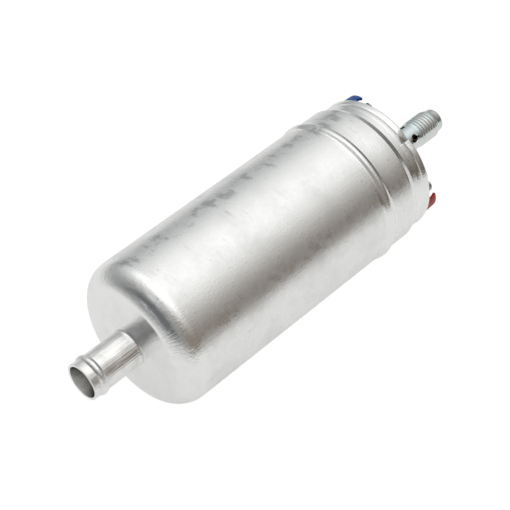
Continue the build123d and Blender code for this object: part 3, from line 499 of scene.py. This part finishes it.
finishes = {
    "can": can_finish(),
    "stub": stub_finish(),
    "zinc": zinc_finish(),
    "black_plastic": moulding(
        "black_moulding", (0.018, 0.018, 0.019), (0.030, 0.030, 0.031), (0.38, 0.55)
    ),
    "blue_plastic": moulding("blue_moulding", (0.008, 0.090, 0.36), (0.014, 0.120, 0.42), (0.34, 0.48)),
    "red_plastic": moulding("red_moulding", (0.48, 0.040, 0.038), (0.56, 0.055, 0.050), (0.34, 0.48)),
    "nylon": moulding("natural_nylon", (0.72, 0.70, 0.62), (0.62, 0.60, 0.50), (0.35, 0.5)),
    "rubber": plain_finish(
        "seal_rubber", (0.015, 0.015, 0.016), (0.030, 0.029, 0.028), 0.0, (0.55, 0.75), 1400.0, 0.008
    ),
    "steel": plain_finish(
        "ground_steel", (0.58, 0.58, 0.59), (0.44, 0.44, 0.45), 1.0, (0.22, 0.38), 1600.0, 0.003,
        stretch=(1.0, 0.15, 0.15),
    ),
    "sintered": plain_finish(
        "sintered_iron", (0.30, 0.30, 0.31), (0.20, 0.20, 0.21), 1.0, (0.42, 0.62), 2200.0, 0.012
    ),
    "ferrite": plain_finish(
        "ferrite", (0.055, 0.055, 0.060), (0.085, 0.083, 0.082), 0.15, (0.5, 0.7), 1200.0, 0.012
    ),
    "copper": plain_finish(
        "copper", (0.80, 0.40, 0.24), (0.58, 0.27, 0.15), 1.0, (0.24, 0.42), 1500.0, 0.004
    ),
    "brass": plain_finish("brass", (0.80, 0.62, 0.30), (0.62, 0.46, 0.21), 1.0, (0.24, 0.40), 1500.0, 0.004),
    "bronze": plain_finish(
        "sintered_bronze", (0.55, 0.36, 0.18), (0.40, 0.26, 0.13), 1.0, (0.40, 0.6), 2200.0, 0.010
    ),
    "carbon": plain_finish(
        "pressed_carbon", (0.045, 0.045, 0.047), (0.085, 0.083, 0.080), 0.3, (0.45, 0.65), 1800.0, 0.008
    ),
    "capacitor_skin": plain_finish(
        "dipped_skin", (0.42, 0.20, 0.05), (0.30, 0.13, 0.03), 0.0, (0.2, 0.35), 500.0, 0.01
    ),
    "ball": plain_finish(
        "polished_steel", (0.70, 0.71, 0.73), (0.60, 0.61, 0.63), 1.0, (0.06, 0.14), 900.0, 0.001
    ),
}

slot_of = {part["node"]: part["material_slot"] for part in frame["record"]["subparts"]}
for name, part in frame["nodes"].items():
    for slot in part.material_slots:
        slot.material = finishes[slot_of[name]]


def dress(obj, slot, *nodes):
    """Give a new piece its finish, let it ride with the housing and stand for its CAD nodes."""
    obj.data.materials.clear()
    obj.data.materials.append(finishes[slot])
    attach(obj, "housing")
    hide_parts(*nodes)
    return obj


# Can: a drawn cup with a domed end, a bead, a stepped collar and a rim rolled over the end cap
knuckle_centre = (-BAND_END, BODY_RADIUS - KNUCKLE_RADIUS)
knuckle_drop = KNUCKLE_RADIUS * (1 - math.sin(math.radians(KNUCKLE_ANGLE)))
crown_edge_radius = BODY_RADIUS - knuckle_drop - CREASE_WIDTH
crown_edge_x = -BAND_END - KNUCKLE_RADIUS * math.cos(math.radians(KNUCKLE_ANGLE)) - CREASE_STEP
crown_x = crown_edge_x - CROWN_RADIUS + math.sqrt(CROWN_RADIUS**2 - crown_edge_radius**2)
crown_centre = (crown_x + CROWN_RADIUS, 0.0)
edge_angle = math.degrees(math.asin(crown_edge_radius / CROWN_RADIUS))
hole_angle = math.degrees(math.asin(HOLE_RADIUS / CROWN_RADIUS))
bead_middle = BAND_END + BEAD_WIDTH / 2
collar_x = BAND_END + BEAD_WIDTH


def can_outline():
    """The can's outside from the hole in the crown to the rolled lip, and back along its inside."""
    outline = arc(crown_centre, CROWN_RADIUS, 180 - hole_angle, 180 - edge_angle, 24)
    outline += arc(knuckle_centre, KNUCKLE_RADIUS, 180 - KNUCKLE_ANGLE, 90, 32)
    outline += [(BAND_END, BODY_RADIUS)]
    crest = BODY_RADIUS + BEAD_HEIGHT
    outline += swing((BAND_END + 0.3, BODY_RADIUS), (bead_middle, crest), 10)
    outline += swing((bead_middle + BEAD_CREST, crest), (collar_x, COLLAR_RADIUS), 10)
    for base_x, base_radius, steps in (
        (SHOULDER_X, COLLAR_RADIUS, ((0.0, 0.0), (0.15, -0.02), (0.3, -0.09))),
        (RIM_X, RIM_RADIUS, ((-0.3, 0.09), (-0.15, 0.02), (0.0, 0.0))),
        (CREASE_X, RIM_RADIUS, ((-2.7, 0.0), (-2.5, -0.03), (-2.3, 0.0))),
        (CREASE_X, RIM_RADIUS, ((-0.2, 0.0), (0.0, -0.09), (0.25, 0.02))),
    ):
        outline += [(base_x + along, base_radius + out) for along, out in steps]
    end_radius = RIM_RADIUS + RIM_FLARE
    outline += arc((RIM_END_X - RIM_ROUND, end_radius - RIM_ROUND), RIM_ROUND, 90, 0, 8)
    outline += [(RIM_END_X, LIP_RADIUS), (LIP_X, LIP_RADIUS), (LIP_X, RIM_RADIUS - CAN_WALL)]
    outline += swing((RIM_X, RIM_RADIUS - CAN_WALL), (SHOULDER_X, COLLAR_RADIUS - CAN_WALL), 8)
    outline += [(collar_x - CAN_WALL / 2, COLLAR_RADIUS - CAN_WALL)]
    outline += [(bead_middle, BODY_RADIUS - CAN_WALL + BEAD_HEIGHT)]
    outline += [(BAND_END + CAN_WALL / 2, BODY_RADIUS - CAN_WALL)]
    outline += arc(knuckle_centre, KNUCKLE_RADIUS - CAN_WALL, 90, 180 - KNUCKLE_ANGLE, 14)
    outline += arc(crown_centre, CROWN_RADIUS - CAN_WALL, 180 - edge_angle, 180 - hole_angle, 8)
    return outline


def stake(x, radius, angle):
    """Press the stake into the rim, deepest at its steep side and at the lip, and swell the rim beside it."""
    if x < RIM_X + 0.5 or radius < RIM_RADIUS - RIM_ROUND - 0.2:
        return radius
    across = (angle - stake_middle) * math.radians(1) * RIM_RADIUS
    swell = smooth_step(across, STAKE_WIDTH / 2 - 0.5, 9.0) * (1 - smooth_step(across, 18.0, 23.0))
    radius += 0.34 * swell * smooth_step(x, CREASE_X - 0.2, CREASE_X + 0.6)
    if abs(across) > STAKE_WIDTH / 2 + 0.4:
        return radius
    start = RIM_END_X - STAKE_LENGTH
    inside = 1 - smooth_step(across, STAKE_WIDTH / 2 - 0.3, STAKE_WIDTH / 2)
    inside *= smooth_step(across, -STAKE_WIDTH / 2, -STAKE_WIDTH / 2 + 0.5)
    inside *= smooth_step(x, start - 0.8, start - 0.4)
    depth = 1.7 * STAKE_DEPTH * max(0.5 + across / STAKE_WIDTH, 0.08)
    depth *= 0.55 * smooth_step(x, start - 0.6, start + 1.2) + 0.55 * max(x - start, 0.0) / STAKE_LENGTH
    flat = (RIM_RADIUS - depth) / math.cos(across / RIM_RADIUS)
    return radius + (min(radius, flat) - radius) * inside


stake_middle = TERMINAL_ROLL + STAKE_ANGLE
can_angles = [step * 360 / 320 for step in range(320)]
can_angles += [stake_middle - 6.5 + step * 0.25 for step in range(53)]
can_angles = sorted({round(angle, 4) for angle in can_angles})
can_skin = lathe("can_skin", runs(can_outline(), 4.0), can_angles, push=stake)
dress(can_skin, "can", "can")

# Inlet stub: a bright hose tube with a bead and a rounded mouth
stub_outline = arc((MOUTH_X + 0.12, 6.67), 0.12, 270, 180, 4)
stub_outline += arc((MOUTH_X + 0.16, 7.40), 0.16, 180, 90, 5)
stub_outline += [(MOUTH_X + 0.9, 7.47)]
bead_start, bead_crest = (MOUTH_X + 3.1, STUB_RADIUS), (MOUTH_X + 4.6, STUB_BEAD_RADIUS)
stub_outline += through(bead_start, bead_crest, (MOUTH_X + 6.1, STUB_RADIUS), 14)
stub_outline += [(-60.2, STUB_RADIUS), (-59.9, 7.49), (-59.3, 7.74), (-59.1, 7.76)]
stub_outline += [(-59.05, 7.3), (-57.5, 7.3), (-57.5, STUB_FLANGE_RADIUS)]
stub_outline += [(STUB_END_X, STUB_FLANGE_RADIUS), (STUB_END_X, STUB_BORE)]
stub_skin = lathe("stub_skin", stub_outline, 160)
dress(stub_skin, "stub", "inlet_stub")

# Outlet fitting: spigot, chamfered hexagon, seat, cross-drilled stud, wound thread and pilot
stud_outline = [(SPIGOT_X, FITTING_BORE), (SPIGOT_X, SPIGOT_RADIUS), (HEX_X + 1.0, SPIGOT_RADIUS)]
stud_outline += [(HEX_X + 1.0, COLLAR_FOOT_RADIUS), (SEAT_X - 0.3, COLLAR_FOOT_RADIUS)]
stud_outline += [(SEAT_X, 7.3), (SEAT_X, STUD_RADIUS)]
stud_outline += [(x, STUD_RADIUS) for x in (90.0, 95.6)]
wound_x, wound_step = 95.7, 0.075
wound = round((THREAD_END_X + 0.9 - wound_x) / wound_step)
stud_outline += [(wound_x + step * wound_step, STUD_RADIUS) for step in range(wound)]
stud_outline += swing((THREAD_END_X + 1.0, 5.46), (THREAD_END_X + 1.6, 5.2), 4)
stud_outline += arc((OUTLET_END_X - 1.2, 3.7), 1.2, 85, 0, 10)
stud_outline += [(OUTLET_END_X, 0.0), (96.0, 0.0), (94.95, PASSAGE_RADIUS)]
stud_outline += [(FITTING_BORE_END_X, PASSAGE_RADIUS), (FITTING_BORE_END_X, FITTING_BORE)]
thread = helix(
    THREAD_X, THREAD_END_X + 0.4, THREAD_CREST, THREAD_PITCH, 5.45, 1.2, THREAD_DEPTH, THREAD_SHARPNESS
)
fitting_skin = lathe("fitting_skin", stud_outline, 144, push=thread)
hexagon = prism("hexagon", HEX_X, HEX_LENGTH, HEX_ACROSS, turn=TERMINAL_ROLL + 30)
chamfer = [(HEX_X, 0.0), (HEX_X, 9.3), (HEX_X + 0.3, 9.82), (HEX_X + 7.1, 9.82)]
chamfer += [(HEX_X + HEX_LENGTH, 8.25), (HEX_X + HEX_LENGTH, 0.0)]
carve(hexagon, lathe("chamfer_shape", chamfer, 96), "INTERSECT")
carve(hexagon, lathe("hex_bore", [(70.0, 0.0), (70.0, 5.0), (86.0, 5.0), (86.0, 0.0)], 96))
carve(fitting_skin, hexagon, "UNION")
half_drill = [(5.0, CROSS_HOLE_RADIUS), (5.5, PASSAGE_RADIUS), (8.0, PASSAGE_RADIUS), (8.0, 0.0)]
drill_outline = [(-x, radius) for x, radius in reversed(half_drill)] + half_drill
for turn in CROSS_HOLE_TURNS:
    angle = math.radians(TERMINAL_ROLL + turn)
    drill = lathe("cross_drill", drill_outline, 40)
    placed = Matrix.Translation((CROSS_HOLE_X * MM, 0, 0)) @ Matrix.Rotation(angle, 4, "X")
    drill.data.transform(placed @ Matrix.Rotation(math.pi / 2, 4, "Z"))
    carve(fitting_skin, drill)
dress(fitting_skin, "zinc", "outlet_fitting")


# Terminals: threaded posts, chamfered nuts and claw-shaped insulators

def claw(name, centre, reach):
    """The open wall of an insulator. Its ends are notched, and hook over the opening at the tip."""
    end = INSULATOR_X + reach
    floor_x = INSULATOR_X + INSULATOR_FLOOR
    stations = [INSULATOR_X, floor_x, CLAW_NOTCH_X - 0.15, CLAW_NOTCH_X + 0.15, (CLAW_NOTCH_X + end) / 2, end]
    steps = 56
    verts = []
    for x in stations:
        hook = 1 - 0.95 * (x - CLAW_NOTCH_X) / (end - CLAW_NOTCH_X)
        half = INSULATOR_OPENING / 2 + (CLAW_NOTCH * hook if x > CLAW_NOTCH_X else 0.0)
        for step in range(steps + 1):
            angle = math.radians(TERMINAL_ROLL + 90 + half + (360 - 2 * half) * step / steps)
            draft = CLAW_DRAFT * max(x - floor_x, 0.0) / (end - floor_x)
            for radius in (INSULATOR_BORE, INSULATOR_RADIUS - draft):
                verts.append(turned(x, radius, angle, centre))
    row = 2 * (steps + 1)
    faces = []
    for level in range(len(stations) - 1):
        base = level * row
        for step in range(steps):
            i = base + 2 * step
            faces.append((i, i + row, i + row + 2, i + 2))
            faces.append((i + 1, i + 3, i + row + 3, i + row + 1))
        last = base + 2 * steps
        faces.append((base, base + 1, base + row + 1, base + row))
        faces.append((last, last + row, last + row + 1, last + 1))
    top = row * (len(stations) - 1)
    for step in range(steps):
        i = 2 * step
        faces.append((i, i + 2, i + 3, i + 1))
        faces.append((top + i, top + i + 1, top + i + 3, top + i + 2))
    return finish_mesh(make_object(name, verts, faces))


roll = math.radians(TERMINAL_ROLL)
# Each pole's side, post radius, thread pitch, nut width across flats and nut height
poles = (("negative", 1, 2.0, 0.7, 7.0, 3.2), ("positive", -1, 2.5, 0.8, 8.0, 4.0))
for pole, side, radius, pitch, across, height in poles:
    centre = (side * TERMINAL_CIRCLE * math.cos(roll), side * TERMINAL_CIRCLE * math.sin(roll))
    thread_start = NUT_X + 0.5
    outline = [(POST_HEAD_X, 0.0), (POST_HEAD_X, 4.0), (POST_HEAD_X + 0.2, POST_HEAD_RADIUS)]
    outline += [(POST_HEAD_END_X, POST_HEAD_RADIUS), (POST_HEAD_END_X, radius), (thread_start - 0.6, radius)]
    outline += [(thread_start - 0.5 + step * 0.07, radius) for step in range(161)]
    outline += [(POST_TIP_X - 0.4, radius - 0.2), (POST_TIP_X, radius - 0.55), (POST_TIP_X, 0.0)]
    thread = helix(thread_start, POST_TIP_X - 0.3, radius, pitch, radius, 0.5, 0.54 * pitch)
    post = lathe(f"{pole}_stud", outline, 64, centre, push=thread)
    dress(post, "zinc", f"{pole}_post")
    nut = prism(f"{pole}_hex_nut", NUT_X, height, across, turn=TERMINAL_ROLL, centre=centre)
    corner = across / 2 / math.cos(math.pi / 6)
    end = NUT_X + height
    shape = [(NUT_X, 0.0), (NUT_X, corner - 0.5), (NUT_X + 0.35, corner)]
    shape += [(end - 0.35, corner), (end, corner - 0.5), (end, 0.0)]
    carve(nut, lathe("nut_shape", shape, 96, centre), "INTERSECT")
    hole = radius + 0.05
    bore = [(NUT_X - 1, 0.0), (NUT_X - 1, hole), (end - 0.25, hole), (end + 0.05, hole + 0.35)]
    bore += [(end + 1, hole + 0.35), (end + 1, 0.0)]
    carve(nut, lathe("nut_bore", bore, 64, centre))
    dress(nut, "zinc", f"{pole}_nut")
    insulator = claw(f"{pole}_claw", centre, INSULATOR_LENGTH - 0.3 * side)
    floor_x = INSULATOR_X + INSULATOR_FLOOR
    hole = radius + 0.1
    foot = [(INSULATOR_X, hole), (INSULATOR_X, INSULATOR_RADIUS)]
    foot += [(floor_x, INSULATOR_RADIUS), (floor_x, hole)]
    carve(insulator, lathe("claw_foot", foot, 96, centre), "UNION")
    soften(insulator, 0.12, 2)
    dress(insulator, "blue_plastic" if side > 0 else "red_plastic", f"{pole}_insulator")

# Springs: each is copied as its own mesh that rides with the housing and stands for its CAD node; how far it
# would shorten along its joint is worked out but not applied
for joint in frame["record"]["behaviour"]["joints"]:
    for spring in joint.get("deforming_nodes", []):
        wire = frame["nodes"][spring["node"]]
        coil = bpy.data.objects.new(spring["node"] + "_coil", wire.data.copy())
        coil.matrix_world = wire.matrix_world
        bpy.context.scene.collection.objects.link(coil)
        way_in = Vector(joint["axis"])
        reach = [way_in.dot(wire.matrix_world @ vertex.co) for vertex in coil.data.vertices]
        share = 1 - joint["range_m"][1] / (max(reach) - min(reach))
        dress(coil, slot_of[spring["node"]], spring["node"])
        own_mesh(coil)

# Floor, light and camera
floor_size = 1.5
corners = [(-1, -1), (1, -1), (1, 1), (-1, 1)]
floor_z = -(BODY_RADIUS + BEAD_HEIGHT) * MM
floor_corners = [(x * floor_size / 2, y * floor_size / 2, floor_z) for x, y in corners]
floor = make_object("floor", floor_corners, [(0, 1, 2, 3)])
pale = bpy.data.materials.new("pale_floor")
pale.use_nodes = True
tree = pale.node_tree
tree.nodes.clear()
sheet = node(tree, "ShaderNodeBsdfDiffuse", {"Color": (0.80, 0.80, 0.79, 1.0)})
glow = node(tree, "ShaderNodeEmission", {"Color": (1.0, 1.0, 1.0, 1.0), "Strength": 1.12})
path = node(tree, "ShaderNodeLightPath")
seen = maths(tree, "MULTIPLY", path.outputs["Is Camera Ray"], 0.85)
mirrored = maths(tree, "MAXIMUM", path.outputs["Is Glossy Ray"], path.outputs["Is Transmission Ray"])
spot = node(tree, "ShaderNodeTexCoord").outputs["Object"]
distance = node(tree, "ShaderNodeVectorMath", {0: spot}, operation="LENGTH").outputs["Value"]
# Painted light: reflected rays see the floor glow most within 0.1 m of the middle, fading towards its edge by
# 0.7 m.
painted_reflection_glow = remap(tree, distance, 0.1, 0.7, 0.48, 0.05)
share = maths(tree, "ADD", seen, maths(tree, "MULTIPLY", mirrored, painted_reflection_glow))
mixed = node(tree, "ShaderNodeMixShader", {0: share, 1: sheet.outputs[0], 2: glow.outputs[0]})
node(tree, "ShaderNodeOutputMaterial", {"Surface": mixed.outputs[0]})
floor.data.materials.append(pale)

world = bpy.data.worlds.new("studio")
bpy.context.scene.world = world
world.use_nodes = True
tree = world.node_tree
tree.nodes.clear()
way = node(tree, "ShaderNodeTexCoord").outputs["Generated"]


def facing(direction):
    """How far a direction of the studio faces the given one."""
    inputs = {0: way, 1: tuple(Vector(direction).normalized())}
    return node(tree, "ShaderNodeVectorMath", inputs, operation="DOT_PRODUCT").outputs["Value"]


overhead = maths(tree, "POWER", maths(tree, "MAXIMUM", facing((0.35, 0.1, 0.93)), 0.0), 2.6)
along = facing((1.0, 0.0, 0.0))
overhead = maths(tree, "MULTIPLY", overhead, remap(tree, along, 0.40, 0.10, 1.0, 1.6))
overhead = maths(tree, "MULTIPLY", overhead, remap(tree, along, -0.75, 0.10))
overhead = maths(tree, "MULTIPLY", overhead, remap(tree, along, 0.75, 0.92, 1.0, 0.15))
back_wall = remap(tree, facing((0.1, 1.0, 0.0)), 0.05, 0.85)
front_wall = remap(tree, facing((0.2, -1.0, 0.0)), 0.0, 0.8)
inlet_wall = remap(tree, facing((-1.0, -0.1, 0.0)), 0.35, 0.8)
height = node(tree, "ShaderNodeSeparateXYZ", {0: way}).outputs[2]
skirting = maths(tree, "MULTIPLY", remap(tree, height, 0.26, 0.08), inlet_wall)
front = blend_colour(tree, remap(tree, along, 0.52, 0.34), (0.128, 0.104, 0.085), (0.235, 0.205, 0.175))
walls = blend_colour(tree, front_wall, (0.14, 0.145, 0.145), front)
walls = blend_colour(tree, back_wall, walls, (0.35, 0.365, 0.37))
walls = blend_colour(tree, inlet_wall, walls, (0.135, 0.14, 0.145))
walls = blend_colour(tree, skirting, walls, (0.60, 0.60, 0.60))
band = remap(tree, maths(tree, "ABSOLUTE", maths(tree, "ADD", along, 0.48)), 0.20, 0.06)
band = maths(tree, "MULTIPLY", band, remap(tree, height, 0.10, 0.30))
walls = blend_colour(tree, band, walls, (0.30, 0.30, 0.295))
studio = blend_colour(tree, overhead, walls, (1.15, 1.15, 1.14))
# Two bright strips: where each lies, the normal of its plane, and how far along it reaches
strips = (
    ((-0.48, 0.07, 0.874), (-0.876, 0.0, -0.482), 0.96),
    ((-0.90, 0.19, 0.386), (-0.394, 0.0, -0.919), 0.95),
)
for direction, edge, reach in strips:
    strip = remap(tree, maths(tree, "ABSOLUTE", facing(edge)), 0.034, 0.014)
    strip = maths(tree, "MULTIPLY", strip, remap(tree, facing(direction), reach, 0.5 + reach / 2))
    studio = blend_colour(tree, strip, studio, (1.5, 1.53, 1.6))
path = node(tree, "ShaderNodeLightPath")
white = blend_colour(tree, path.outputs["Is Camera Ray"], studio, (1.0, 1.0, 1.0))
background = node(tree, "ShaderNodeBackground", {"Color": white, "Strength": 1.0})
node(tree, "ShaderNodeOutputWorld", {"Surface": background.outputs[0]})

camera_data = bpy.data.cameras.new("camera")
camera = bpy.data.objects.new("camera", camera_data)
bpy.context.scene.collection.objects.link(camera)
bpy.context.scene.camera = camera
# The camera's axes and place come from a pinhole camera fitted to the body's rings and outline
right = Vector((0.70227828, -0.71190253, 0.0))
up = Vector((0.52619104, 0.51907743, 0.67355891))
forward = Vector((0.47950830, 0.47302578, -0.73913354))
turn = Matrix((right, up, -forward)).transposed()
camera.matrix_world = Matrix.Translation(Vector((-273.578, -275.279, 429.057)) * MM) @ turn.to_4x4()
camera_data.sensor_width = 36.0
camera_data.lens = 108.48
camera_data.clip_start = 0.01
camera_data.clip_end = 20.0

settings = bpy.context.scene.view_settings
settings.view_transform = "Standard"
